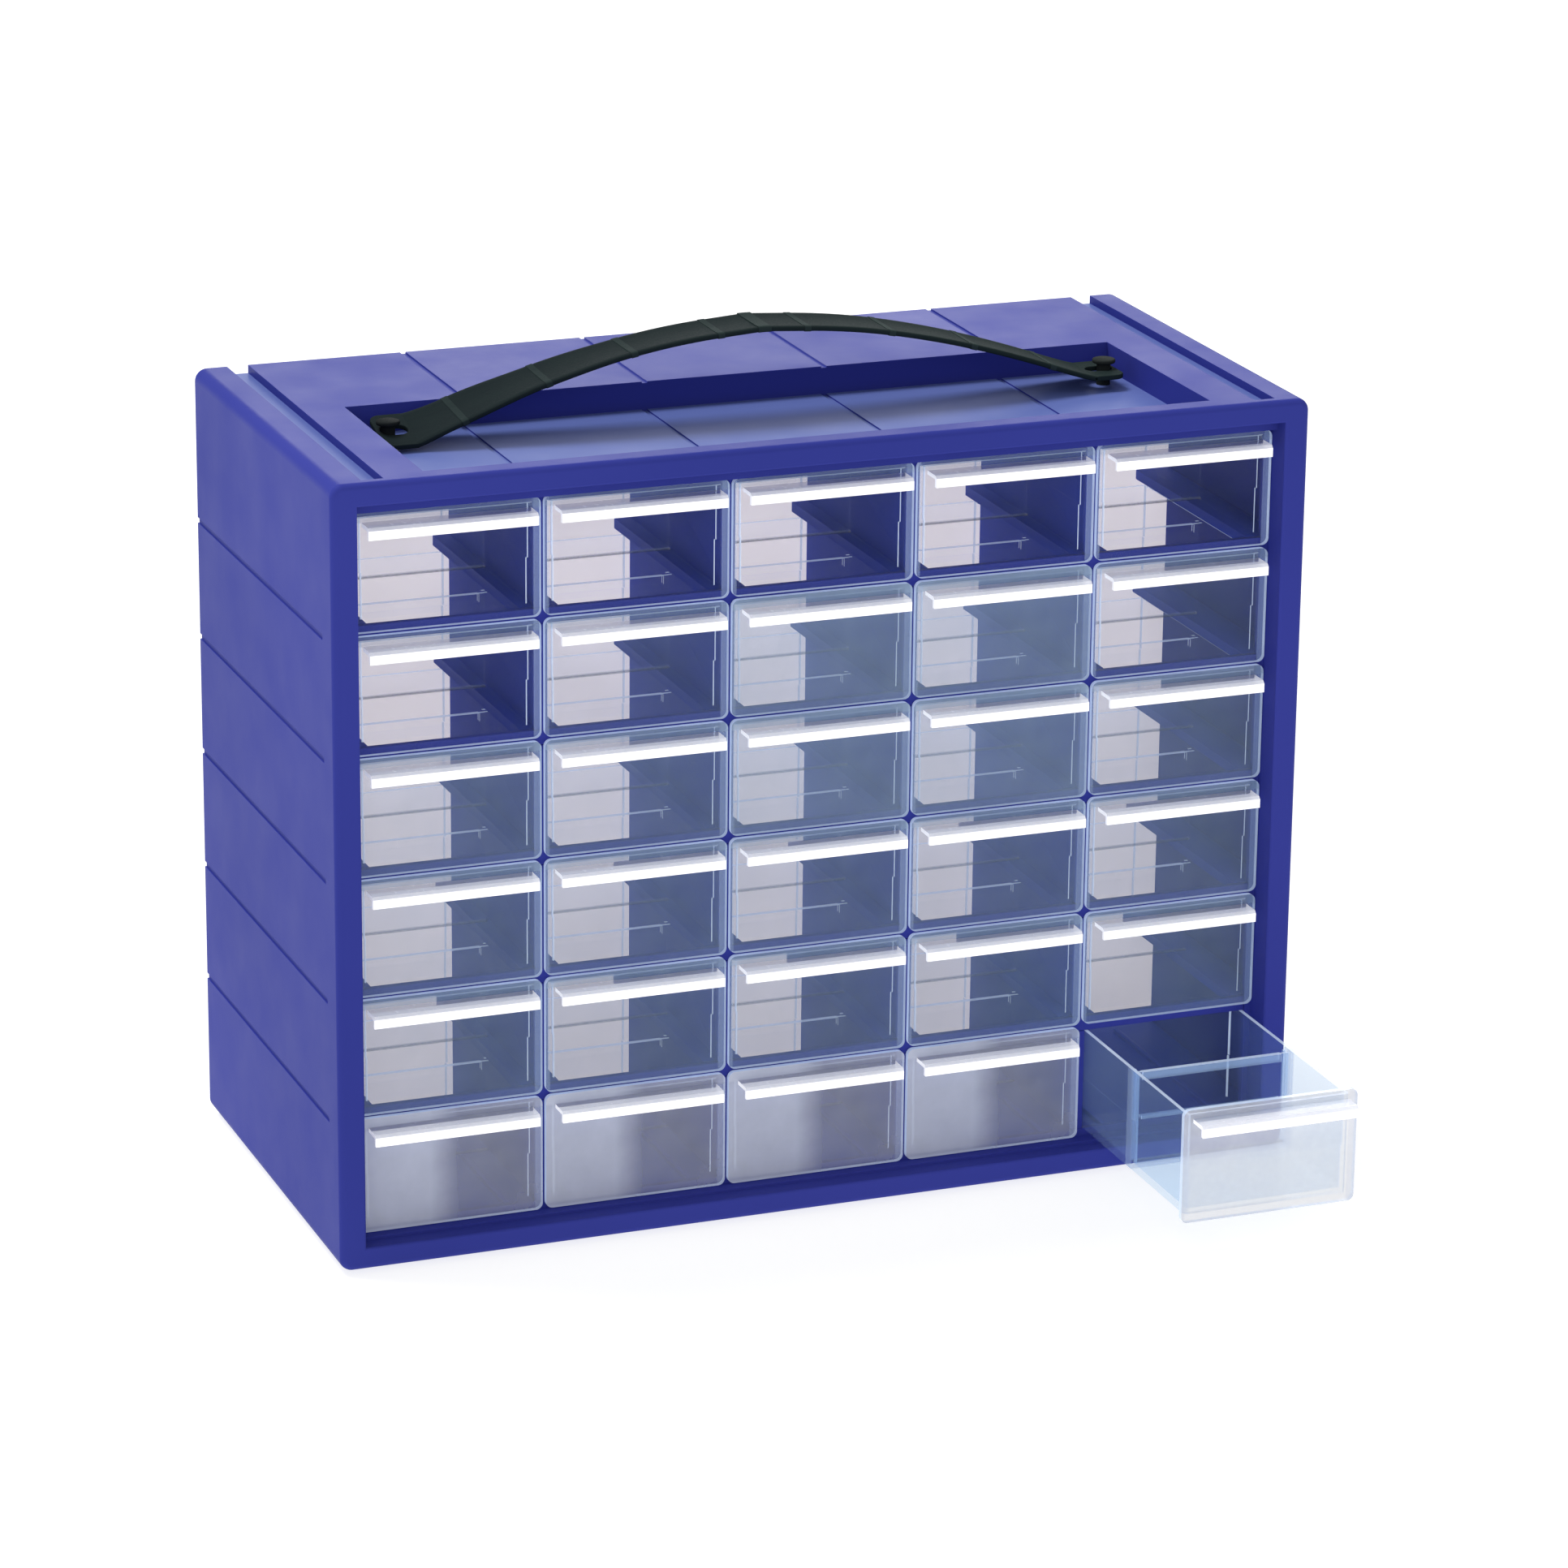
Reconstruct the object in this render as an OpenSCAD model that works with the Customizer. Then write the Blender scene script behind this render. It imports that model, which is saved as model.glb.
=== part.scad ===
// Thirty-drawer small-parts organizer.
// Origin: middle of the base, on the surface that the feet stand on.
// +Z is up and the drawers open towards -Y.

/* [Cabinet] */
// Outer width of the housing
cabinet_w = 360; // [340:1:380]
// Outer height of the cabinet, feet included
cabinet_h = 284; // [272:1:296]
// Outer depth of the housing
cabinet_d = 166; // [160:1:180]
// Height of the rubber feet
foot_h = 1.5; // [1:0.5:3]
// Thickness of the housing's side walls
wall = 3; // [2.5:0.5:4]

/* [Drawers] */
// Length of a drawer's tray behind its front panel
tray_len = 97.5; // [96:0.5:97.5]
// Thickness of a tray's walls
tray_wall = 1.4; // [1.2:0.1:1.6]
// How far every drawer can be pulled out
drawer_travel = 90; // [88:0.5:90]
// How far the open drawer stands out
open_by = 88; // [0:1:88]

/* [Strap] */
// Width of the carrying strap
strap_w = 22; // [18:1:26]
// Thickness of the carrying strap
strap_t = 1.8; // [1.4:0.1:2]
// Distance between two of the strap's bending lines
link_len = 32.5; // [31:0.5:33]

/* [Hidden] */
$fn = 48;
blue = [0.20, 0.22, 0.56];
pale = [0.82, 0.83, 0.86];
clear_blue = [0.72, 0.80, 0.93, 0.55];
strap_green = [0.17, 0.21, 0.20];
black = [0.08, 0.08, 0.09];

rows = 6;
cols = 5;
front_y = -cabinet_d / 2;
back_y = cabinet_d / 2;
half_w = cabinet_w / 2;

// Front frame: a proud border round the block of drawers
post_w = 9.3;
top_bar = 8.2;
bottom_bar = 9.6;
edge_r = 4.5;
panel_recess = 9.5;
ledge_y = front_y + 6.5;
panel_t = 2;
rim_gap = 0.4;
rim_t = 2.6;
rim_front = front_y + panel_recess + panel_t + rim_gap;
rim_back = rim_front + rim_t;

// Grid of cells
grid_w = cabinet_w - 2 * post_w;
grid_low = 10.8;
grid_high = cabinet_h - 12.2;
pitch_x = grid_w / cols;
pitch_z = (grid_high - grid_low) / rows;
plate = 2;
flange_x = 2.3;
flange_z = 2.75;
grid_back = front_y + 110.5;
cell_back_t = 2;
rail_reach = 7;
runner_w = 2;
runner_x = 22;
runner_end = 8;

// Housing skin
skin = 2.6;
bottom_t = 3;
back_t = 2.5;
fit_gap = 0.1;

// Recess and grooves of the top
recess_half = 145;
recess_front = front_y + 9;
recess_back = front_y + 98;
recess_depth = 10.2;
pan_t = 1.6;
groove_in = 12;
groove_w = 7.7;
groove_depth = 3;
groove_wall = 1.6;
seam_w = 2;
seam_depth = 0.6;
seam_start = front_y + 12;

// Drawer, in its own frame: y from the panel's face, z from the cell's floor line
panel_w = pitch_x - 1.28;
panel_h = pitch_z - 1.2;
panel_z = 0.6;
panel_r = 2.5;
tray_w = pitch_x - 2 * flange_x - 0.68;
tray_low = flange_z + 0.3;
tray_high = pitch_z - flange_z - 0.3;
tray_r = 2;
floor_t = 1.5;
step_z = 21;
step_in = 0.4;
lip_half = 30;
lip_out = 8.3;
lip_top = panel_z + panel_h - 3.4;
lip_h = 4.2;
lip_t = 1.4;
nib_len = 3.5;
nib_y = rim_back - front_y - panel_recess + drawer_travel + 0.4;
nib_top = pitch_z - plate / 2 - 0.4;

// Dividers and the rib pairs that hold them
divider_t = 1.2;
divider_w = tray_w - 2 * tray_wall - 1.6;
divider_top = tray_high - 1.5;
divider_bar = 2.2;
rib_w = 1;
rib_out = 1.3;
rib_slot = 1.7;
divider_y = 50;

// Strap: equal links that climb from each end to the middle
link_slopes = [20, 16, 11, 4, -4, -11, -16, -20];
link_rolls = [9, 3, 0, 0, 0, 0, 0, 0];
tab_rolls = [15, 0];
links = len(link_slopes);
strap_y = front_y + 79;
strap_z = cabinet_h - 5.2;
link_gap = 2.4;
tab_len = 13.5;
slot_w = 6.6;
slot_in = 2.1;
slot_out = 12;
cross_rib_w = 2.4;
cross_rib_h = 0.8;
stud_x = 135.3;
stud_r = 2.5;
stud_head_r = 4.2;
stud_head_t = 1.5;
stud_base_r = 4.5;

// Feet
foot_r = 3.2;
foot_in_x = 14.5;
foot_in_y = 12;

function cell_x(col) = (col - (cols + 1) / 2) * pitch_x;
function cell_z(row) = grid_low + (rows - row) * pitch_z;
function wall_x(j) = -grid_w / 2 + j * pitch_x;
function row_z(i) = grid_low + i * pitch_z;
// Where bending line k of the strap lies, counted from the left end
function climb(k) = k == 0 ? 0 : climb(k - 1) + link_len * sin(link_slopes[k - 1]);
function reach(k) = k == 0 ? 0 : reach(k - 1) + link_len * cos(link_slopes[k - 1]);
function bend_x(k) = reach(k) - reach(links) / 2;
function bend_z(k) = strap_z + climb(k);
function drawer_name(row, col) = str("drawer_r", row, "c", col);

open_row = 6;
open_col = 5;

// A box given by its lowest corner and its highest corner
module block(low, high) {
    translate(low)
        cube(high - low);
}

// A flat rectangle with round corners, its lowest corner at the origin
module round_rect(w, h, r) {
    translate([r, 0])
        square([w - 2 * r, h]);
    translate([0, r])
        square([w, h - 2 * r]);
    for (x = [r, w - r])
        for (y = [r, h - r])
            translate([x, y])
                circle(r);
}

// An XZ outline pushed back from y to y + depth
module upright(y, depth) {
    translate([0, y + depth, 0])
        rotate([90, 0, 0])
            linear_extrude(depth)
                children();
}

// ---- Housing ----

module outer_block() {
    upright(front_y, cabinet_d)
        translate([-half_w, foot_h])
            round_rect(cabinet_w, cabinet_h - foot_h, edge_r);
}

module cavity() {
    block([-half_w + wall, rim_back, foot_h + bottom_t],
        [half_w - wall, back_y + 1, cabinet_h - skin]);
}

// Solid that carries the recess's floor and walls inside the cavity
module recess_pan() {
    block([-recess_half - pan_t, rim_back - 0.5, cabinet_h - recess_depth - pan_t],
        [recess_half + pan_t, recess_back + pan_t, cabinet_h - skin + 0.5]);
}

// Solid that backs a stacking groove, grown by play where another piece makes room for it
module groove_channel(side, play = 0) {
    near = half_w - groove_in - groove_w - groove_wall - play;
    far = half_w - groove_in + groove_wall + play;
    block([side > 0 ? near : -far, rim_back - 0.5, cabinet_h - groove_depth - groove_wall - play],
        [side > 0 ? far : -near, back_y + play, cabinet_h - skin + 0.5]);
}

// The frame's opening steps in at a ledge, then at the rim behind the drawers' panels
module frame_openings() {
    block([-grid_w / 2, front_y - 1, bottom_bar],
        [grid_w / 2, ledge_y, cabinet_h - top_bar]);
    block([-grid_w / 2, ledge_y - 1, grid_low],
        [grid_w / 2, rim_front, grid_high]);
    block([-grid_w / 2 + flange_x, rim_front - 1, grid_low + flange_z],
        [grid_w / 2 - flange_x, rim_back + 1, grid_high - flange_z]);
}

module recess() {
    block([-recess_half, recess_front, cabinet_h - recess_depth],
        [recess_half, recess_back, cabinet_h + 1]);
}

module stack_grooves() {
    near = half_w - groove_in - groove_w;
    for (side = [-1, 1])
        block([side > 0 ? near : -near - groove_w, front_y + 4.5, cabinet_h - groove_depth],
            [side > 0 ? near + groove_w : -near, back_y + 1, cabinet_h + 1]);
}

// Shallow lines over the rails and the column walls
module seams() {
    for (i = [1:rows - 1])
        for (side = [-1, 1])
            translate([side * half_w, 0, row_z(i)])
                block([-seam_depth, seam_start, -seam_w / 2], [seam_depth, back_y + 1, seam_w / 2]);
    for (j = [1:cols - 1]) {
        block([wall_x(j) - seam_w / 2, recess_back, cabinet_h - seam_depth],
            [wall_x(j) + seam_w / 2, back_y + 1, cabinet_h + 1]);
        block([wall_x(j) - seam_w / 2, recess_front, cabinet_h - recess_depth - seam_depth],
            [wall_x(j) + seam_w / 2, recess_back, cabinet_h - recess_depth + 1]);
    }
}

module stud_holes() {
    for (side = [-1, 1])
        translate([side * stud_x, strap_y, cabinet_h - recess_depth - pan_t - 1])
            cylinder(r = stud_r + 0.05, h = pan_t + 2);
}

module housing_shell() {
    color(blue)
        difference() {
            union() {
                difference() {
                    outer_block();
                    cavity();
                }
                recess_pan();
                groove_channel(-1);
                groove_channel(1);
            }
            frame_openings();
            recess();
            stack_grooves();
            seams();
            stud_holes();
        }
}

module back_panel() {
    color(blue)
        difference() {
            block([-half_w + wall + fit_gap, back_y - back_t, foot_h + bottom_t + fit_gap],
                [half_w - wall - fit_gap, back_y, cabinet_h - skin - fit_gap]);
            groove_channel(-1, fit_gap);
            groove_channel(1, fit_gap);
            for (i = [1:rows - 1])
                block([-grid_w / 2, back_y - seam_depth, row_z(i) - seam_w / 2],
                    [grid_w / 2, back_y + 1, row_z(i) + seam_w / 2]);
            for (j = [1:cols - 1])
                block([wall_x(j) - seam_w / 2, back_y - seam_depth, grid_low],
                    [wall_x(j) + seam_w / 2, back_y + 1, grid_high]);
        }
}

// ---- Cells ----

// Pale panel that closes the cells behind the drawers
module cell_back() {
    color(pale)
        block([-half_w + wall + fit_gap, grid_back + fit_gap, foot_h + bottom_t + fit_gap],
            [half_w - wall - fit_gap, grid_back + fit_gap + cell_back_t,
            cabinet_h - groove_depth - groove_wall - fit_gap]);
}

// Deck under the lowest drawers, with two runners for each
module base_deck() {
    color(blue) {
        block([-half_w + wall + fit_gap, rim_back + fit_gap, grid_low - plate / 2],
            [half_w - wall - fit_gap, grid_back - fit_gap, grid_low + plate / 2]);
        for (col = [1:cols])
            for (side = [-1, 1])
                translate([cell_x(col) + side * runner_x, 0, grid_low])
                    block([-runner_w / 2, rim_back + fit_gap, 0],
                        [runner_w / 2, grid_back - runner_end, flange_z]);
    }
}

// The rails of row i, from x_low to x_high
module rail(i, x_low, x_high) {
    block([x_low, rim_back + fit_gap, row_z(i) - plate / 2],
        [x_high, grid_back - fit_gap, row_z(i) + flange_z]);
}

// Rails on the housing's side walls
module side_rails() {
    near = grid_w / 2 - rail_reach;
    far = half_w - wall - fit_gap;
    color(blue)
        for (i = [1:rows - 1]) {
            rail(i, -far, -near);
            rail(i, near, far);
        }
}

// Front cross bar between two rows
module row_bar(i) {
    color(blue)
        block([-grid_w / 2 + flange_x + fit_gap, rim_front, row_z(i) - flange_z],
            [grid_w / 2 - flange_x - fit_gap, rim_back, row_z(i) + flange_z]);
}

// Upright plate with a front flange, rails on both sides and notches round the cross bars
module column_wall(j) {
    color(blue) {
        difference() {
            union() {
                block([wall_x(j) - plate / 2, rim_front, grid_low + plate / 2 + fit_gap],
                    [wall_x(j) + plate / 2, grid_back - fit_gap, grid_high + 0.3]);
                block([wall_x(j) - flange_x, rim_front, grid_low + flange_z + fit_gap],
                    [wall_x(j) + flange_x, rim_back, grid_high - flange_z - fit_gap]);
            }
            // The plate passes behind the rim's upper and lower edges
            for (z = [[0, grid_low + flange_z + fit_gap], [grid_high - flange_z - fit_gap, cabinet_h]])
                block([wall_x(j) - flange_x, rim_front - 1, z[0]],
                    [wall_x(j) + flange_x, rim_back + fit_gap, z[1]]);
            for (i = [1:rows - 1])
                block([wall_x(j) - flange_x - 1, rim_front - 1, row_z(i) - flange_z - fit_gap],
                    [wall_x(j) + flange_x + 1, rim_back + fit_gap, row_z(i) + flange_z + fit_gap]);
        }
        for (i = [1:rows - 1])
            rail(i, wall_x(j) - rail_reach, wall_x(j) + rail_reach);
    }
}

// ---- Drawers ----

module drawer_panel() {
    upright(0, panel_t)
        translate([-panel_w / 2, panel_z])
            round_rect(panel_w, panel_h, panel_r);
}

// Hooked finger pull across the panel
module pull_lip() {
    translate([-lip_half, 0, 0])
        rotate([90, 0, 90])
            linear_extrude(2 * lip_half)
                polygon([
                    [0.1, lip_top],
                    [-lip_out + 1, lip_top],
                    [-lip_out, lip_top - 1],
                    [-lip_out, lip_top - lip_h],
                    [-lip_out + lip_t, lip_top - lip_h],
                    [-lip_out + lip_t, lip_top - lip_t],
                    [0.1, lip_top - lip_t]
                ]);
}

module tray_block(low, high, inset, r) {
    translate([-tray_w / 2 + inset, panel_t - 0.1 + inset, low])
        linear_extrude(high - low)
            round_rect(tray_w - 2 * inset, tray_len + 0.1 - 2 * inset, r);
}

module tray() {
    difference() {
        tray_block(tray_low, tray_high, 0, tray_r);
        tray_block(tray_low + floor_t, step_z, tray_wall + step_in, tray_r - tray_wall);
        tray_block(step_z - 0.1, tray_high + 1, tray_wall, tray_r - tray_wall);
    }
}

// A pair of ribs up the inside of each wall
module divider_ribs() {
    for (side = [-1, 1])
        for (end = [-1, 1])
            translate([side * (tray_w / 2 - tray_wall), divider_y + end * (rib_slot + rib_w) / 2, 0])
                block([-rib_out, -rib_w / 2, tray_low + 1], [rib_out, rib_w / 2, tray_high - 1]);
}

// Nibs that stop the drawer against the front edge of its cell
module stop_nibs() {
    for (side = [-1, 1])
        translate([side * (tray_w / 2 - tray_wall / 2), nib_y, 0])
            block([-tray_wall / 2, 0, tray_high - 1], [tray_wall / 2, nib_len, nib_top]);
}

module drawer_box() {
    drawer_panel();
    pull_lip();
    tray();
    intersection() {
        tray_block(tray_low, tray_high, 0.2, tray_r);
        divider_ribs();
    }
    stop_nibs();
}

module divider_plate() {
    low = tray_low + floor_t + 0.1;
    bar_half = divider_w / 2 - 2;
    translate([0, divider_y, 0]) {
        block([-divider_w / 2, -divider_t / 2, low], [divider_w / 2, divider_t / 2, divider_top]);
        block([-bar_half, -divider_bar / 2, divider_top - 3], [bar_half, divider_bar / 2, divider_top]);
        block([-bar_half, -divider_bar / 2, step_z], [bar_half, divider_bar / 2, step_z + 1.2]);
    }
}

module in_cell(row, col, out = 0) {
    translate([cell_x(col), front_y + panel_recess - out, cell_z(row)])
        children();
}

// A closed drawer keeps its divider as a second solid of the same node
module drawer(row, col) {
    is_open = row == open_row && col == open_col;
    color(clear_blue)
        in_cell(row, col, is_open ? open_by : 0) {
            drawer_box();
            if (!is_open)
                divider_plate();
        }
}

module divider() {
    color(clear_blue)
        in_cell(open_row, open_col, open_by)
            divider_plate();
}

// ---- Strap ----

module strap_link(k) {
    color(strap_green)
        translate([bend_x(k - 1), strap_y, bend_z(k - 1)])
            rotate([0, -link_slopes[k - 1], 0])
                rotate([link_rolls[k - 1], 0, 0]) {
                    block([link_gap / 2, -strap_w / 2, -strap_t / 2],
                        [link_len - link_gap / 2, strap_w / 2, strap_t / 2]);
                    block([link_len / 2 - cross_rib_w / 2, -strap_w / 2 + 1, 0],
                        [link_len / 2 + cross_rib_w / 2, strap_w / 2 - 1, strap_t / 2 + cross_rib_h]);
                }
}

// Flat end with a long slot over its stud
module strap_tab(side) {
    k = side < 0 ? 0 : links;
    color(strap_green)
        translate([bend_x(k), strap_y, bend_z(k)])
            rotate([side < 0 ? tab_rolls[0] : tab_rolls[1], 0, 0])
                translate([side < 0 ? -tab_len : 0, 0, -strap_t / 2])
                    difference() {
                        translate([side < 0 ? 0 : link_gap / 2, -strap_w / 2, 0])
                            cube([tab_len - link_gap / 2, strap_w, strap_t]);
                        translate([side < 0 ? tab_len - slot_out : slot_in, -slot_w / 2, -1])
                            linear_extrude(strap_t + 2)
                                round_rect(slot_out - slot_in, slot_w, slot_w / 2 - 0.01);
                    }
}

module strap_tab_left() {
    strap_tab(-1);
}

module strap_tab_right() {
    strap_tab(1);
}

module strap_studs() {
    floor_z = cabinet_h - recess_depth;
    head_z = strap_z + 2.9;
    color(blue)
        for (side = [-1, 1])
            translate([side * stud_x, strap_y, 0]) {
                translate([0, 0, floor_z - pan_t])
                    cylinder(r = stud_r, h = head_z - floor_z + pan_t + 0.5);
                translate([0, 0, head_z])
                    cylinder(r = stud_head_r, h = stud_head_t);
                translate([0, 0, floor_z - pan_t - 1.2])
                    cylinder(r = stud_base_r, h = 1.2);
            }
}

module feet() {
    color(black)
        for (x = [-1, 1])
            for (y = [-1, 1])
                translate([x * (half_w - foot_in_x), y * (back_y - foot_in_y), 0])
                    cylinder(r = foot_r, h = foot_h);
}

housing_shell();
back_panel();
cell_back();
base_deck();
side_rails();
for (i = [1:rows - 1])
    row_bar(i);
for (j = [1:cols - 1])
    column_wall(j);
strap_studs();
feet();
strap_tab_left();
for (k = [1:links])
    strap_link(k);
strap_tab_right();
divider();
for (row = [1:rows])
    for (col = [1:cols])
        drawer(row, col);
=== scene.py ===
"""Looks of the thirty-drawer parts organizer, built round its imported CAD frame.

Sizes here are in millimetres.
"""
import math

import bmesh
import bpy
from mathutils import Matrix, Vector


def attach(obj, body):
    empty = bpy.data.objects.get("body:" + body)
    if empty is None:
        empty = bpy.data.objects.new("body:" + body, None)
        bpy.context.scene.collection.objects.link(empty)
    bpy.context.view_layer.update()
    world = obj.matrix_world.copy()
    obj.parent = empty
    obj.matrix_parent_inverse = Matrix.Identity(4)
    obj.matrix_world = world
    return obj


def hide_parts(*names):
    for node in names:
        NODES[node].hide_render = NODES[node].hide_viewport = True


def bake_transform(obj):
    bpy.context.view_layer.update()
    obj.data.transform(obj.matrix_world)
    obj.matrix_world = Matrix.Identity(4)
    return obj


MM = 0.001
W, D, H = 360.0, 166.0, 284.0
FRONT, BACK = -D / 2, D / 2
ROWS, COLS = 6, 5
PITCH_X, PITCH_Z = 68.28, 43.5
GRID_LOW = 10.8
PANEL_Y = FRONT + 9.5
OPEN_BY = 88.0
TRAY_HALF = 31.5
TRAY_TOP = 40.45
LIP_TOP = 39.5
# How hazy each closed drawer's panel is drawn, row by row: the plastic's faint haze plus painted reflection,
# most in the bottom row; 0 is the clearest, 4 the palest bottom row
PANEL_REFLECTION_HAZE = ("00000", "01331", "22332", "22222", "22222", "44444")
DIVIDER_Y = 50.0
# Where the haze of the corner next to the panel ends
CORNER_END = 4.6
# Where the dark foot line of a divider begins to fade, and where it ends
FOOT_LINE = (4.9, 5.7)
# Depths of the sunk floors in the housing's top: the strap's recess and the two stacking grooves
SUNK_DEPTHS = (10.2, 3.0)
# Parts of the cells further back than this are seen through the drawers
CELLS_FROM = FRONT + 12
SLOPES = (20, 16, 11, 4, -4, -11, -16, -20)
ROLLS = (9, 3, 0, 0, 0, 0, 0, 0)
TAB_ROLLS = (15, 0)
LINK = 32.5
STRAP_Y, STRAP_Z = FRONT + 79, H - 5.2
STRAP_W, STRAP_T = 22.0, 1.8
TAB = 13.5
SLOT_IN, SLOT_OUT, SLOT_W = 2.1, 12.0, 6.6

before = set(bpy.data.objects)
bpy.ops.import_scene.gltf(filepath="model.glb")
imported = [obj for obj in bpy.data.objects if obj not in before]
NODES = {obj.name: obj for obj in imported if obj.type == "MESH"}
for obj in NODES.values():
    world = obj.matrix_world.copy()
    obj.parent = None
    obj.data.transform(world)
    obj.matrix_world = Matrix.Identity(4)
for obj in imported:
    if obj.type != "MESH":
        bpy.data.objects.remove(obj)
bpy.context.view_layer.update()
scene = bpy.context.scene


# ---- Camera and light ----

def add_camera():
    """The viewpoint: left of the front and above it."""
    az, el, roll = (math.radians(v) for v in (-21.19, 18.25, 0.612))
    back = Vector((math.sin(az) * math.cos(el), -math.cos(az) * math.cos(el), math.sin(el)))
    right = (-back).cross(Vector((0, 0, 1))).normalized()
    up = right.cross(-back)
    place = Vector((0, 0, H / 2 * MM)) + back * 2.1783 + right * 0.0137 - up * 0.0068
    x_axis = right * math.cos(roll) + up * math.sin(roll)
    y_axis = up * math.cos(roll) - right * math.sin(roll)
    data = bpy.data.cameras.new("camera")
    data.lens, data.sensor_width = 138.3, 36
    data.clip_start, data.clip_end = 0.05, 50
    cam = bpy.data.objects.new("camera", data)
    scene.collection.objects.link(cam)
    cam.matrix_world = Matrix.Translation(place) @ Matrix((x_axis, y_axis, back)).transposed().to_4x4()
    scene.camera = cam


def add_light(name, kind, aim_from, strength, size, colour=(1, 1, 1)):
    data = bpy.data.lights.new(name, kind)
    data.energy = strength
    data.color = colour
    if kind == "SUN":
        data.angle = size
    else:
        data.shape, data.size = "DISK", size
    light = bpy.data.objects.new(name, data)
    scene.collection.objects.link(light)
    place = Vector(aim_from)
    light.location = place
    light.rotation_euler = (Vector((0, 0, 0.14)) - place).to_track_quat("-Z", "Y").to_euler()


def add_world():
    world = bpy.data.worlds.new("studio")
    world.use_nodes = True
    shade = world.node_tree.nodes["Background"]
    shade.inputs["Color"].default_value = (1, 1, 1, 1)
    shade.inputs["Strength"].default_value = 0.5
    scene.world = world


# ---- Materials ----

class Shader:
    """A material's node tree, built from the output backwards."""

    def __init__(self, name):
        self.material = bpy.data.materials.new(name)
        self.material.use_nodes = True
        self.tree = self.material.node_tree
        self.tree.nodes.clear()
        self.out = self.tree.nodes.new("ShaderNodeOutputMaterial")

    def node(self, kind, settings=None, **inputs):
        made = self.tree.nodes.new("ShaderNode" + kind)
        for key, value in (settings or {}).items():
            setattr(made, key, value)
        for key, value in inputs.items():
            self.put(made.inputs[key.replace("_", " ")], value)
        return made

    def put(self, socket, value):
        if isinstance(value, bpy.types.NodeSocket):
            self.tree.links.new(value, socket)
        else:
            socket.default_value = value

    def math(self, operation, a, b=0.0, clamp=False):
        made = self.tree.nodes.new("ShaderNodeMath")
        made.operation, made.use_clamp = operation, clamp
        self.put(made.inputs[0], a)
        self.put(made.inputs[1], b)
        return made.outputs[0]

    def span(self, value, low, high, to_low, to_high):
        made = self.node("MapRange", Value=value)
        made.inputs["From Min"].default_value = low
        made.inputs["From Max"].default_value = high
        made.inputs["To Min"].default_value = to_low
        made.inputs["To Max"].default_value = to_high
        return made.outputs[0]

    def noise(self, scale, detail=2.0, rough=0.5, where=None):
        made = self.node("TexNoise", Scale=scale, Detail=detail, Roughness=rough)
        self.put(made.inputs["Vector"], where or self.here())
        return made.outputs["Fac"]

    def here(self):
        return self.node("TexCoord").outputs["Object"]

    def ramp(self, factor, a, b):
        made = self.node("Mix", {"data_type": "RGBA"})
        self.put(made.inputs["Factor"], factor)
        made.inputs[6].default_value = (*a, 1)
        made.inputs[7].default_value = (*b, 1)
        return made.outputs[2]

    def bump(self, height, strength, distance):
        return self.node("Bump", Height=height, Strength=strength, Distance=distance).outputs[0]

    def finish(self, surface):
        self.tree.links.new(surface, self.out.inputs["Surface"])
        return self.material


def blue_plastic(name, dark, light, rough=0.36, grain=0.10):
    """Moulded opaque plastic: two close blues, uneven gloss and a fine grain."""
    s = Shader(name)
    cloud = s.noise(5.0, 3.0, 0.5)
    fine = s.noise(1500.0, 2.0, 0.5)
    patch = s.noise(38.0, 3.0, 0.55)
    colour = s.ramp(s.span(cloud, 0.35, 0.65, 0, 1), dark, light)
    gloss = s.math("ADD", s.span(patch, 0.3, 0.7, rough - 0.05, rough + 0.05), s.math("MULTIPLY", fine, 0.04))
    height = s.math("ADD", s.math("MULTIPLY", fine, 0.35), patch)
    body = s.node("BsdfPrincipled", Roughness=gloss, Normal=s.bump(height, grain, 0.0004))
    s.put(body.inputs["Base Color"], colour)
    body.inputs["Specular IOR Level"].default_value = 0.02
    return s.finish(body.outputs[0])


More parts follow.
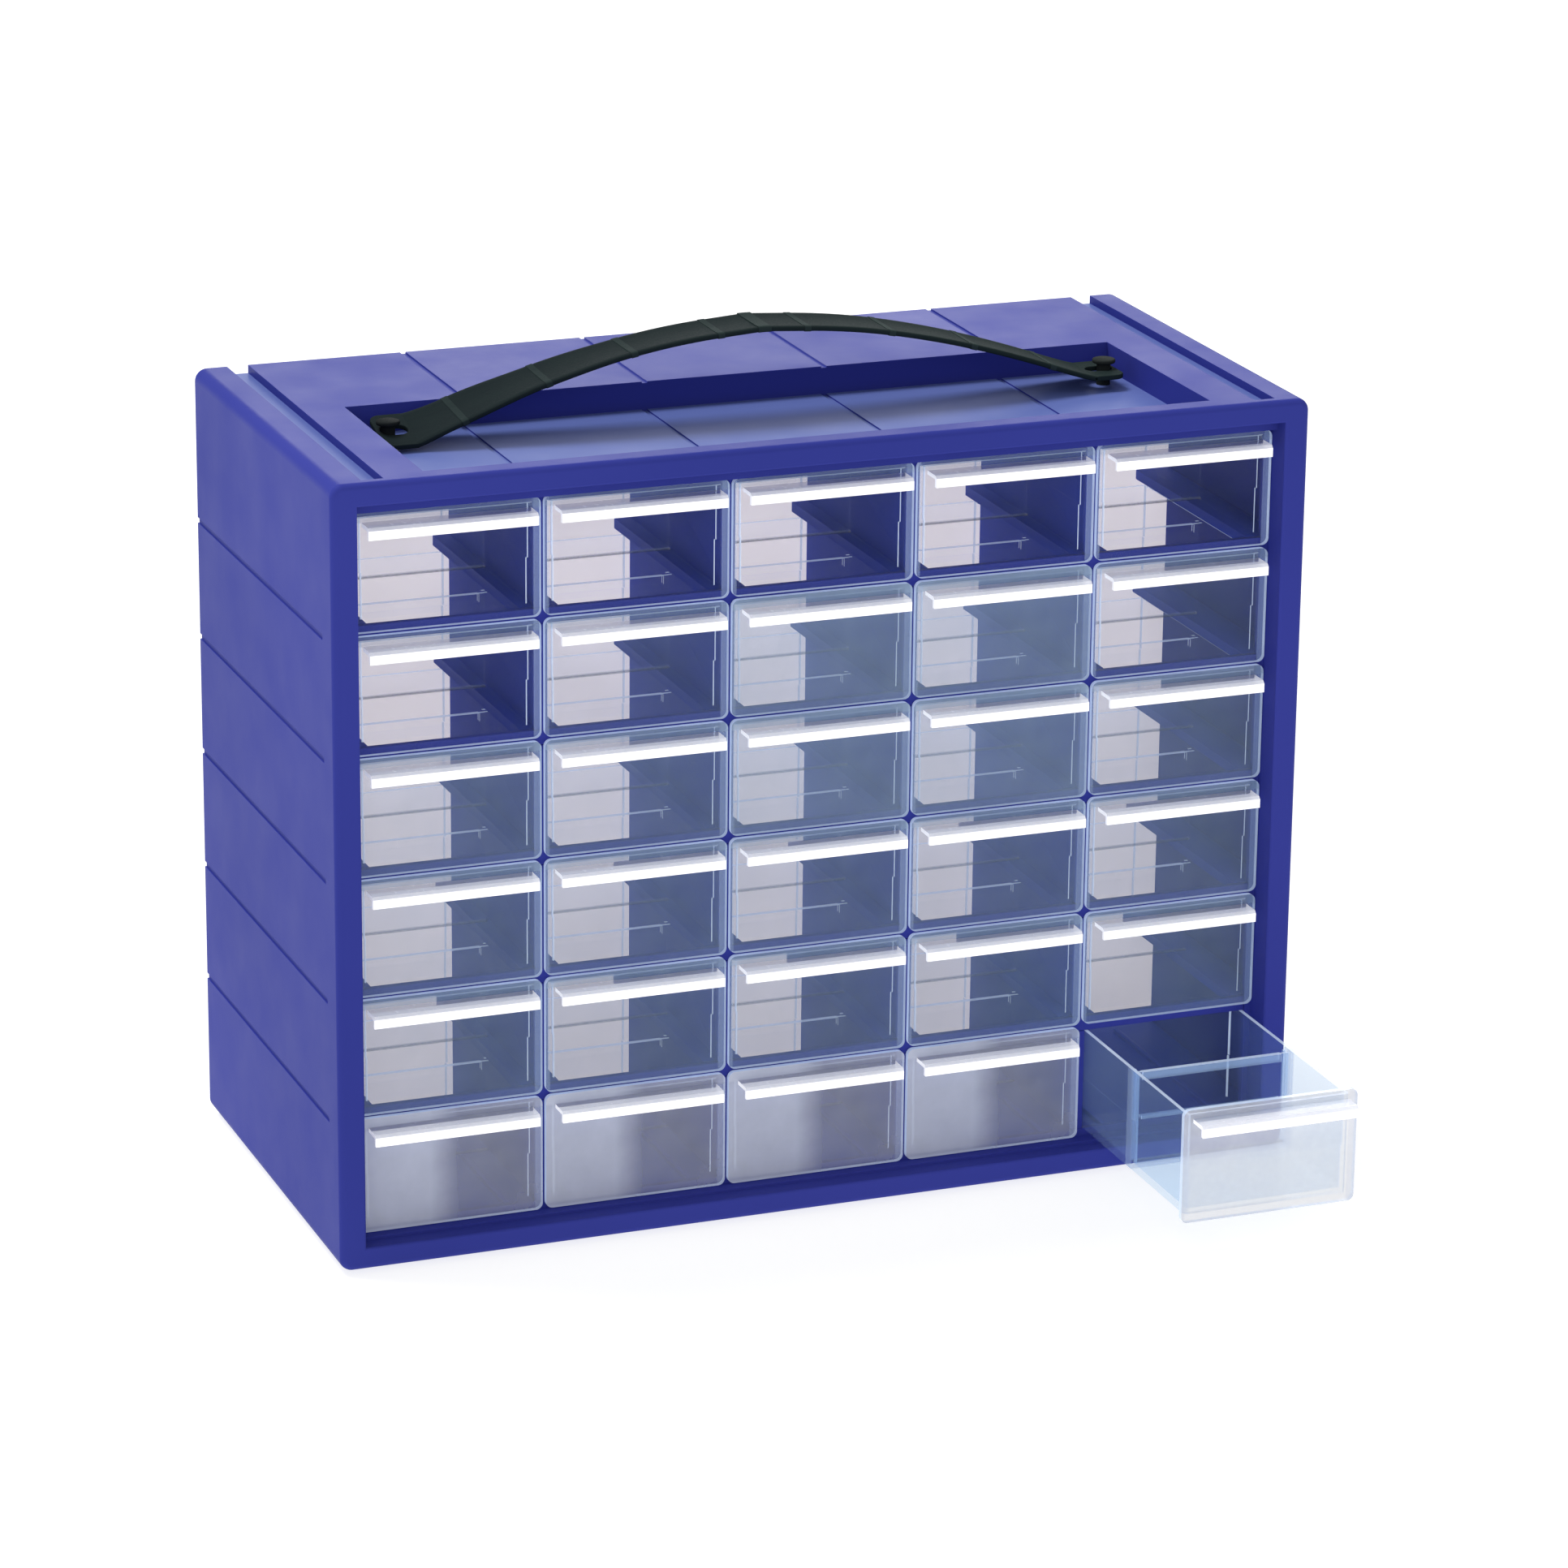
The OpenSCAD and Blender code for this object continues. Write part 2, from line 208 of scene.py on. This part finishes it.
def clear_plastic(name, tint, haze, rough=0.12, band=0.0, sheen=0.5, foot=0.0, stripe=0.0, rim=0.0,
                  left=0.0, glow=0.0, through=(0.985, 0.99, 1.0)):
    """Clear moulded plastic: mostly see-through, with a faint pale body that thickens at a slant.

    band: extra haze above the pull lip
    foot: the dark line where a divider meets the tray's floor
    stripe: haze of the divider's slots and of the corner next to the panel
    rim: haze of the panel outside the tray
    left: extra pale body on the panel's left half, painted light
    glow: how much light the plastic's body gives off
    through: colour of the light that passes
    """
    s = Shader(name)
    here = s.here()
    place = s.node("SeparateXYZ", Vector=here)
    flow = s.noise(60.0, 3.0, 0.6, here)
    fine = s.noise(700.0, 2.0, 0.5, here)
    slant = s.math("POWER", s.node("LayerWeight", Blend=0.5).outputs["Facing"], 3.0)
    amount = s.math("ADD", s.span(flow, 0.3, 0.7, haze * 0.88, haze * 1.12), s.math("MULTIPLY", slant, sheen))
    if band:
        above = s.span(place.outputs["Z"], (LIP_TOP - 0.6) * MM, (LIP_TOP + 0.4) * MM, 0.0, band)
        amount = s.math("ADD", amount, above)
    if stripe:
        off = s.math("ABSOLUTE", s.math("SUBTRACT", place.outputs["Y"], DIVIDER_Y * MM))
        amount = s.math("ADD", amount, s.span(off, 2.0 * MM, 3.0 * MM, stripe, 0.0))
        corner = s.span(place.outputs["Y"], (CORNER_END - 1.4) * MM, CORNER_END * MM, stripe, 0.0)
        amount = s.math("ADD", amount, corner)
    # Painted light on the panel's left half
    if left:
        amount = s.math("ADD", amount, s.span(place.outputs["X"], -8 * MM, 3 * MM, left, 0.0))
    if rim:
        off = s.math("ABSOLUTE", place.outputs["X"])
        amount = s.math("ADD", amount, s.span(off, (TRAY_HALF - 0.3) * MM, TRAY_HALF * MM, 0.0, rim))
    colour = s.ramp(flow, [v * 0.95 for v in tint], tint)
    if foot:
        low = s.span(place.outputs["Z"], FOOT_LINE[0] * MM, FOOT_LINE[1] * MM, foot, 0.0)
        amount = s.math("ADD", amount, low)
        colour = s.ramp(s.math("MULTIPLY", low, 1.0 / foot), tint, (0.05, 0.055, 0.12))
    amount = s.math("MINIMUM", amount, 0.96)
    body = s.node("BsdfPrincipled", Roughness=s.span(fine, 0.3, 0.7, rough * 0.7, rough * 1.4),
                  Normal=s.bump(s.math("ADD", flow, s.math("MULTIPLY", fine, 0.03)), 0.06, 0.0004))
    body.inputs["Specular IOR Level"].default_value = 0.6
    s.put(body.inputs["Base Color"], colour)
    body.inputs["Emission Color"].default_value = (*tint, 1)
    body.inputs["Emission Strength"].default_value = glow
    clear = s.node("BsdfTransparent", Color=(*through, 1))
    mixed = s.node("MixShader", Fac=amount)
    s.tree.links.new(clear.outputs[0], mixed.inputs[1])
    s.tree.links.new(body.outputs[0], mixed.inputs[2])
    return s.finish(mixed.outputs[0])


def pale_card():
    """Pale backing behind the cells, a little brighter towards the top, with a soft glow: painted backlight,
    and painted shade that darkens it towards the bottom.
    """
    s = Shader("pale_backing_painted_backlight")
    here = s.here()
    place = s.node("SeparateXYZ", Vector=here)
    cloud = s.noise(16.0, 4.0, 0.6, here)
    fine = s.noise(900.0, 2.0, 0.6, here)
    # Painted light: colour and glow both grow towards the top
    painted_light_to_top = s.span(place.outputs["Z"], 0.01, 0.27, 0.0, 1.0)
    blend = s.math("MULTIPLY", s.math("ADD", painted_light_to_top, cloud), 0.5)
    colour = s.ramp(blend, (0.58, 0.54, 0.56), (0.82, 0.76, 0.76))
    # Painted backlight: the card glows though it is no lamp, dimmer towards the bottom
    glow = s.math("MULTIPLY", s.span(painted_light_to_top, 0, 1, 0.52, 0.68), s.span(cloud, 0.3, 0.7, 0.90, 1.08))
    body = s.node("BsdfPrincipled", Roughness=0.7, Normal=s.bump(fine, 0.15, 0.0003))
    s.put(body.inputs["Base Color"], colour)
    body.inputs["Emission Color"].default_value = (0.92, 0.82, 0.76, 1)
    s.put(body.inputs["Emission Strength"], glow)
    return s.finish(body.outputs[0])


def strap_rubber(name, low, high):
    """Dark olive flexible plastic with fine grain, faint lengthwise streaks and a painted sheen that
    brightens it towards the right end.
    """
    s = Shader(name)
    here = s.here()
    stretched = s.node("Mapping", Vector=here)
    stretched.inputs["Scale"].default_value = (12, 260, 260)
    streak = s.noise(1.0, 4.0, 0.6, stretched.outputs[0])
    fine = s.noise(1600.0, 2.0, 0.6, here)
    along = s.node("SeparateXYZ", Vector=here)
    # Painted sheen: brighter towards the right end of the strap
    painted_sheen_right = s.span(along.outputs["X"], -0.06, 0.12, 0.0, 0.7)
    mix = s.math("ADD", s.math("MULTIPLY", streak, 0.45), s.math("MULTIPLY", painted_sheen_right, 0.6), clamp=True)
    body = s.node("BsdfPrincipled", Roughness=s.span(fine, 0.3, 0.7, 0.58, 0.74),
                  Normal=s.bump(s.math("ADD", streak, fine), 0.2, 0.0003))
    s.put(body.inputs["Base Color"], s.ramp(mix, low, high))
    body.inputs["Specular IOR Level"].default_value = 0.01
    return s.finish(body.outputs[0])


def foot_rubber():
    s = Shader("foot_rubber_dark")
    grain = s.noise(1200.0, 3.0, 0.6)
    body = s.node("BsdfPrincipled", Roughness=s.span(grain, 0.3, 0.7, 0.65, 0.85),
                  Normal=s.bump(grain, 0.3, 0.0003))
    s.put(body.inputs["Base Color"], s.ramp(grain, (0.012, 0.012, 0.016), (0.03, 0.03, 0.036)))
    return s.finish(body.outputs[0])


def studio_floor():
    s = Shader("studio_floor")
    soft = s.noise(2.0, 2.0, 0.5)
    body = s.node("BsdfPrincipled", Roughness=0.9)
    s.put(body.inputs["Base Color"], s.ramp(soft, (0.34, 0.34, 0.34), (0.36, 0.36, 0.36)))
    body.inputs["Specular IOR Level"].default_value = 0.1
    body.inputs["Emission Color"].default_value = (1, 1, 1, 1)
    body.inputs["Emission Strength"].default_value = 0.80
    return s.finish(body.outputs[0])


# ---- Meshes ----

def add(name, mesh, place=(0, 0, 0)):
    obj = bpy.data.objects.new(name, mesh)
    scene.collection.objects.link(obj)
    obj.location = Vector(place) * MM
    return obj


def even_normals(obj):
    obj.modifiers.new("even_normals", "WEIGHTED_NORMAL").keep_sharp = True


def to_mesh(bm, name, materials, sort=None):
    """A mesh from bm. sort gives each face's material number from its middle, normal and area, in
    millimetres."""
    bm.normal_update()
    for face in bm.faces:
        face.smooth = True
        if sort:
            middle = face.calc_center_median() / MM
            face.material_index = sort(middle, face.normal, face.calc_area() / MM ** 2)
    mesh = bpy.data.meshes.new(name)
    bm.to_mesh(mesh)
    bm.free()
    for material in materials:
        mesh.materials.append(material)
    mesh.set_sharp_from_angle(angle=math.radians(50))
    return mesh


def clean_copy(node, shift):
    """The CAD node's mesh with its flat faces joined up, moved by shift millimetres."""
    bm = bmesh.new()
    bm.from_mesh(NODES[node].data)
    bmesh.ops.remove_doubles(bm, verts=bm.verts, dist=2e-6)
    bmesh.ops.translate(bm, verts=bm.verts, vec=Vector(shift) * MM)
    bmesh.ops.dissolve_limit(bm, angle_limit=math.radians(1), use_dissolve_boundaries=False,
                             verts=bm.verts, edges=bm.edges)
    return bm


def round_edges(bm, chosen, radius, segments=2):
    edges = [e for e in bm.edges if len(e.link_faces) == 2 and e.calc_face_angle(0) > math.radians(28)
             and chosen(e)]
    bmesh.ops.bevel(bm, geom=edges, offset=radius * MM, offset_type="OFFSET", segments=segments, profile=0.5,
                    affect="EDGES", clamp_overlap=True)


def soften_node(node, radius, material, inner=None):
    """A CAD node shown as it is, with softened edges. inner is for the faces behind the drawer panels."""
    obj = NODES[node]
    weld = obj.modifiers.new("weld", "WELD")
    weld.merge_threshold = 2e-6
    flat = obj.modifiers.new("flat", "DECIMATE")
    flat.decimate_type, flat.angle_limit = "DISSOLVE", math.radians(1)
    edge = obj.modifiers.new("edge", "BEVEL")
    edge.width, edge.segments, edge.limit_method = radius * MM, 2, "ANGLE"
    edge.angle_limit, edge.harden_normals = math.radians(28), True
    obj.data.materials.clear()
    obj.data.materials.append(material)
    if inner:
        obj.data.materials.append(inner)
    for face in obj.data.polygons:
        face.use_smooth = True
        face.material_index = int(bool(inner) and face.center.y > CELLS_FROM * MM)


def cell(row, col):
    return (col - (COLS + 1) / 2) * PITCH_X, GRID_LOW + (ROWS - row) * PITCH_Z


# ---- Drawers ----

WALL, PANEL, EDGE, MARGIN, PULL, PLATE, LEDGE = range(7)


def drawer_face(c, n, area):
    """Which material a face of a drawer takes, from its place in the drawer's own frame."""
    if c.y < -0.15:
        return LEDGE if n.z > 0.7 else PULL
    if c.y < 0.1:
        return PANEL if n.y < -0.9 else EDGE
    if c.y < 1.9:
        return EDGE
    if c.y < 2.1 and n.y > 0.9:
        return MARGIN
    if n.z > 0.9 and c.z > TRAY_TOP - 1.6:
        return EDGE
    inside = abs(c.x) < TRAY_HALF - 1.5
    if abs(c.y - DIVIDER_Y) < 0.7 and inside and abs(n.z) < 0.5:
        return PLATE
    if abs(c.y - DIVIDER_Y) < 2.6 and not inside:
        return EDGE
    return EDGE if area < 3.0 else WALL


def drawer_mesh(node, name, row, col, out, materials):
    x, z = cell(row, col)
    bm = clean_copy(node, (-x, -(PANEL_Y - out), -z))
    round_edges(bm, lambda e: True, 0.28)
    return to_mesh(bm, name, materials, drawer_face)


def add_drawers():
    # Panel plastics by haze level: faint real haze plus painted reflection
    panels = [clear_plastic(f"clear_panel_{n}", (0.30, 0.43, 0.60), haze, band=0.3, sheen=0.3)
              for n, haze in enumerate((0.04, 0.13, 0.24, 0.36))]
    # The bottom row's panel: paler and hazier all over, painted reflection, with painted light on its left
    # half
    panels.append(clear_plastic("clear_panel_low", (0.56, 0.60, 0.74), 0.34, band=0.2, sheen=0.3, left=0.40))
    materials = [
        clear_plastic("clear_wall", (0.45, 0.62, 1.0), 0.001, sheen=0.008),
        panels[0],
        # Edges and rims are drawn pale, near opaque and glowing: painted highlight on the clear plastic's
        # edges
        clear_plastic("clear_edge_painted_highlight", (0.70, 0.82, 1.0), 0.72, sheen=0.3, glow=0.26),
        clear_plastic("clear_margin", (0.56, 0.70, 1.0), 0.01, sheen=0.1, rim=0.28),
        # The pull lip is drawn near opaque white and glowing: painted highlight on the clear lip
        clear_plastic("pull_lip", (0.97, 0.97, 0.99), 0.93, rough=0.2, sheen=0.2, glow=0.36),
        clear_plastic("clear_plate", (0.66, 0.76, 0.95), 0.015, sheen=0.05, foot=0.55),
        clear_plastic("lip_ledge", (0.80, 0.82, 0.90), 0.5, rough=0.2, sheen=0.2),
    ]
    closed = drawer_mesh("drawer_r1c1", "closed_drawer", 1, 1, 0, materials)
    # The pulled-out panel is drawn half opaque and pale: painted light on the clear plastic outside the
    # cabinet
    out_panel_painted_light = clear_plastic("clear_panel_out_painted_light", (0.80, 0.79, 0.80), 0.50, sheen=0.3)
    # Hazier, bluer copy of the wall plastic for the pulled-out drawer: painted reflection; its stripes mark
    # the divider's slots
    materials[WALL] = clear_plastic("clear_wall_out_painted_reflection", (0.52, 0.70, 1.0), 0.05, sheen=0.14, stripe=0.3,
                                    through=(0.93, 0.97, 1.0))
    pulled = drawer_mesh("drawer_r6c5", "pulled_drawer", 6, 5, OPEN_BY, materials)
    loose = drawer_mesh("divider", "loose_divider", 6, 5, OPEN_BY, materials)
    for row in range(1, ROWS + 1):
        for col in range(1, COLS + 1):
            is_open = (row, col) == (6, 5)
            x, z = cell(row, col)
            body = f"drawer_r{row}c{col}"
            place = (x, PANEL_Y - (OPEN_BY if is_open else 0), z)
            piece = add(f"tray_r{row}c{col}", pulled if is_open else closed, place)
            even_normals(piece)
            slot = piece.material_slots[PANEL]
            slot.link = "OBJECT"
            slot.material = out_panel_painted_light if is_open else panels[int(PANEL_REFLECTION_HAZE[row - 1][col - 1])]
            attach(piece, body)
            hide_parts(body)
            if is_open:
                plate = add("cross_divider", loose, place)
                even_normals(plate)
                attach(plate, "divider")
                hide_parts("divider")


# ---- Housing ----

def add_housing(blue, sunk, dull_shaded_blue, cells, pale):
    bm = clean_copy("housing_shell", (0, 0, 0))

    def on_front(e):
        return all(abs(v.co.y / MM - FRONT) < 0.01 for v in e.verts)

    def outer(e):
        return on_front(e) and all(abs(v.co.x / MM) > W / 2 - 5 or v.co.z / MM > H - 5 or v.co.z / MM < 6.5
                                   for v in e.verts)

    round_edges(bm, outer, 2.3, 4)
    round_edges(bm, lambda e: on_front(e) and not outer(e), 0.9, 3)
    round_edges(bm, lambda e: all(v.co.y / MM > FRONT + 3.2 for v in e.verts)
                and all(v.co.y / MM < FRONT + 110 or abs(v.co.x / MM) > 100 for v in e.verts), 0.45)

    # Faces of the sunk floors take the paler recess blue: painted sheen
    def sunk_floor(c, n, area):
        return int(n.z > 0.9 and any(abs(H - depth - c.z) < 1 for depth in SUNK_DEPTHS))

    shell = add("housing_skin", to_mesh(bm, "housing_skin", [blue, sunk], sunk_floor))
    even_normals(shell)
    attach(shell, "housing")
    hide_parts("housing_shell")
    # The back panel takes the darker inner blue: painted shade
    soften_node("back_panel", 0.4, dull_shaded_blue)
    soften_node("cell_back", 0.2, pale)
    # Parts inside the cells, and the column walls' faces behind the panels, take the brighter cell blue:
    # painted light
    soften_node("base_deck", 0.3, cells)
    soften_node("side_rails", 0.3, cells)
    for i in range(1, ROWS):
        soften_node(f"row_bar_{i}", 0.4, blue)
    for j in range(1, COLS):
        soften_node(f"column_wall_{j}", 0.3, blue, cells)
    # The studs are drawn dark: painted shade of the slots they sit in
    soften_node("strap_studs", 0.5, strap_rubber("stud_painted_shade", (0.010, 0.012, 0.014), (0.03, 0.036, 0.034)))
    soften_node("feet", 0.4, foot_rubber())


# ---- Strap ----

def bends():
    xs, zs = [0.0], [0.0]
    for slope in SLOPES:
        xs.append(xs[-1] + LINK * math.cos(math.radians(slope)))
        zs.append(zs[-1] + LINK * math.sin(math.radians(slope)))
    return [Vector((x - xs[-1] / 2, STRAP_Y, z + STRAP_Z)) for x, z in zip(xs, zs)]


def closed_outline(w, t, r, lift):
    """Outline across the strap: rounded edges and slightly raised borders."""
    points = []
    for sy, sz in ((1, 1), (-1, 1), (-1, -1), (1, -1)):
        corner = [(w, t - r), (w - r * 0.3, t - r * 0.3), (w - r, t), (w - 2.2, t), (w - 2.8, t - 0.16)]
        if sy * sz < 0:
            corner = corner[::-1]
        points += [(sy * y, sz * z + lift) for y, z in corner]
    return points


def sweep(name, path, outline, material, ends=True):
    """path holds (middle, slope in degrees, roll in degrees) from left to right."""
    bm = bmesh.new()
    rings = []
    for middle, slope, roll in path:
        turn = Matrix.Rotation(-math.radians(slope), 3, "Y") @ Matrix.Rotation(math.radians(roll), 3, "X")
        rings.append([bm.verts.new((Vector(middle) + turn @ Vector((0, y, z))) * MM) for y, z in outline])
    count = len(outline)
    for a, b in zip(rings, rings[1:]):
        for i in range(count):
            k = (i + 1) % count
            bm.faces.new((a[i], a[k], b[k], b[i]))
    if ends:
        bm.faces.new(rings[0][::-1])
        bm.faces.new(rings[-1])
    bmesh.ops.recalc_face_normals(bm, faces=bm.faces)
    return add(name, to_mesh(bm, name, [material]))


def bend_path(a, corner, b, slopes, rolls, steps=10):
    """A smooth curve from a to b that leaves and arrives along its two straight neighbours."""
    path = []
    for i in range(steps + 1):
        t = i / steps
        p = a * (1 - t) ** 2 + corner * (2 * t * (1 - t)) + b * t * t
        d = (corner - a) * (1 - t) + (b - corner) * t
        ease = t * t * (3 - 2 * t)
        path.append((p, math.degrees(math.atan2(d.z, d.x)), rolls[0] + (rolls[1] - rolls[0]) * ease))
    return path


def strap_piece(obj, body, replaced=()):
    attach(obj, body)
    if replaced:
        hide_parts(*replaced)


def tab_plate(name, bend, side, roll, material):
    """Slotted end, from the bend outwards."""
    outer, steps = [], 8
    w = STRAP_W / 2
    r = 4.0
    for cx, cy, start in ((TAB - r, w - r, 0), (TAB - r, -w + r, -90)):
        arc = [(cx + r * math.cos(math.radians(start + (90 - 90 * i / steps))),
                cy + r * math.sin(math.radians(start + (90 - 90 * i / steps)))) for i in range(steps + 1)]
        outer += arc
    outer = [(1.0, w)] + outer + [(1.0, -w)]
    hole = []
    rs = SLOT_W / 2
    for i in range(13):
        a = math.radians(90 - 180 * i / 12)
        hole.append((SLOT_OUT - rs + rs * math.cos(a), rs * math.sin(a)))
    for i in range(13):
        a = math.radians(-90 - 180 * i / 12)
        hole.append((SLOT_IN + rs + rs * math.cos(a), rs * math.sin(a)))
    bm = bmesh.new()
    edges = []
    for loop in (outer, hole):
        verts = [bm.verts.new((x, y, -STRAP_T / 2)) for x, y in loop]
        edges += [bm.edges.new((verts[i], verts[(i + 1) % len(verts)])) for i in range(len(verts))]
    bmesh.ops.triangle_fill(bm, edges=edges, use_beauty=True, use_dissolve=True)
    grown = bmesh.ops.extrude_face_region(bm, geom=bm.faces[:])
    bmesh.ops.translate(bm, verts=[g for g in grown["geom"] if isinstance(g, bmesh.types.BMVert)],
                        vec=(0, 0, STRAP_T))
    bmesh.ops.recalc_face_normals(bm, faces=bm.faces)
    bmesh.ops.dissolve_limit(bm, angle_limit=math.radians(1), use_dissolve_boundaries=False,
                             verts=bm.verts, edges=bm.edges)
    edges = [e for e in bm.edges if len(e.link_faces) == 2 and e.calc_face_angle(0) > math.radians(28)]
    bmesh.ops.bevel(bm, geom=edges, offset=0.35, offset_type="OFFSET", segments=2, profile=0.5,
                    affect="EDGES", clamp_overlap=True)
    turn = Matrix.Rotation(math.radians(roll), 4, "X") @ Matrix.Diagonal((side, 1, 1, 1))
    bm.transform(Matrix.Scale(MM, 4) @ Matrix.Translation(bend) @ turn)
    bmesh.ops.recalc_face_normals(bm, faces=bm.faces)
    obj = add(name, to_mesh(bm, name, [material]))
    even_normals(obj)
    return obj


def add_strap():
    rubber = strap_rubber("strap_olive", (0.012, 0.018, 0.021), (0.019, 0.032, 0.031))
    ridge = strap_rubber("strap_ridge", (0.018, 0.027, 0.029), (0.036, 0.056, 0.053))
    corner = bends()
    mids = [(corner[k] + corner[k + 1]) / 2 for k in range(8)]
    outline = closed_outline(STRAP_W / 2, STRAP_T / 2, 0.6, 0)
    links = [f"strap_link_{k}" for k in range(1, 9)]

    def bend_piece(name, start, bend, end, slopes, rolls, replaced):
        obj = sweep(name, bend_path(start, bend, end, slopes, rolls), outline, rubber)
        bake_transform(obj)
        if replaced:
            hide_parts(*replaced)

    step = Vector((2.0, 0, 0))
    bend_piece("strap_bend_a", corner[0] - step, corner[0], mids[0],
               (0, 20), (TAB_ROLLS[0], ROLLS[0]), [links[0]])
    for k in (1, 2, 3):
        bend_piece(f"strap_bend_{'abcd'[k]}", mids[k - 1], corner[k], mids[k],
                   SLOPES[k - 1:k + 1], (ROLLS[k - 1], ROLLS[k]), [links[k]])
    for k in (5, 6, 7):
        bend_piece(f"strap_bend_{'efgh'[k - 5]}", mids[k - 1], corner[k], mids[k],
                   SLOPES[k - 1:k + 1], (ROLLS[k - 1], ROLLS[k]), [links[k - 1]])
    bend_piece("strap_bend_h", mids[7], corner[8], corner[8] + step,
               (-20, 0), (0, TAB_ROLLS[1]), [links[7]])
    # The two halves overlap a little under the middle ridge
    over = 1.4
    for side, k, label in ((-1, 3, "left"), (1, 4, "right")):
        slope = SLOPES[k]
        d = Vector((math.cos(math.radians(slope)), 0, math.sin(math.radians(slope))))
        near = corner[4] + d * (over if side < 0 else -over)
        ends = [mids[k], near] if side < 0 else [near, mids[k]]
        path = [(ends[0] + (ends[1] - ends[0]) * (i / 6), slope, 0) for i in range(7)]
        strap_piece(sweep(f"strap_middle_{label}", path, outline, rubber), links[k])
    # Ridges across the strap
    for k in range(8):
        d = Vector((math.cos(math.radians(SLOPES[k])), 0, math.sin(math.radians(SLOPES[k]))))
        path = [(mids[k] + d * v, SLOPES[k], ROLLS[k]) for v in (-1.2, -0.7, 0.7, 1.2)]
        strap_piece(sweep(f"strap_ridge_{k + 1}", path,
                          closed_outline(STRAP_W / 2 + 0.1, STRAP_T / 2 + 0.15, 0.5, 0), ridge), links[k])
    path = [(corner[4] + Vector((v, 0, -0.02 * abs(v))), 0, 0) for v in (-2.4, -1.6, 0, 1.6, 2.4)]
    strap_piece(sweep("strap_ridge_middle", path,
                      closed_outline(STRAP_W / 2 + 0.15, STRAP_T / 2 + 0.2, 0.5, 0), ridge), links[3])
    for name, bend, side, roll, body in (("strap_end_left", corner[0], -1, TAB_ROLLS[0], "strap_tab_left"),
                                         ("strap_end_right", corner[8], 1, TAB_ROLLS[1], "strap_tab_right")):
        strap_piece(tab_plate(name, bend, side, roll, rubber), body, [body])


# ---- Scene ----

add_camera()
add_world()
add_light("key", "SUN", (-0.7, 0.9, 2.5), 2.3, math.radians(24), (1.0, 0.985, 0.96))
add_light("side", "AREA", (-2.2, 0.8, 0.8), 4.0, 1.2, (0.75, 1.0, 0.97))
add_light("front", "AREA", (-0.7, -2.6, 1.1), 7.5, 1.4)
add_light("rear", "AREA", (0.9, 2.3, 1.15), 18.0, 1.6)

housing_blue = blue_plastic("housing_blue_plastic", (0.035, 0.045, 0.285), (0.041, 0.051, 0.315))
# A darker, rougher copy of the housing blue: the darker colour is painted shade of the inside
shaded_inner_blue = blue_plastic("inner_blue_painted_shade", (0.020, 0.034, 0.265), (0.025, 0.040, 0.295), 0.45, 0.14)
# The cells' blue is brighter and more saturated than the housing's: painted light for the dim cells behind
# the drawers
lit_cell_blue = blue_plastic("cell_blue_painted_light", (0.028, 0.048, 0.38), (0.038, 0.064, 0.44), 0.45, 0.14)
# A paler blue for the sunk floors of the recess and the grooves: painted sheen
recess_sheen_blue = blue_plastic("recess_blue_painted_sheen", (0.105, 0.145, 0.40), (0.118, 0.160, 0.43))
add_housing(housing_blue, recess_sheen_blue, shaded_inner_blue, lit_cell_blue, pale_card())
add_drawers()
add_strap()

ground = bpy.data.meshes.new("studio_ground")
ground.from_pydata([(-9, -9, 0), (9, -9, 0), (9, 9, 0), (-9, 9, 0)], [], [(0, 1, 2, 3)])
ground.materials.append(studio_floor())
floor = bpy.data.objects.new("studio_ground", ground)
scene.collection.objects.link(floor)

scene.view_settings.view_transform = "Standard"
scene.cycles.transparent_max_bounces = 32
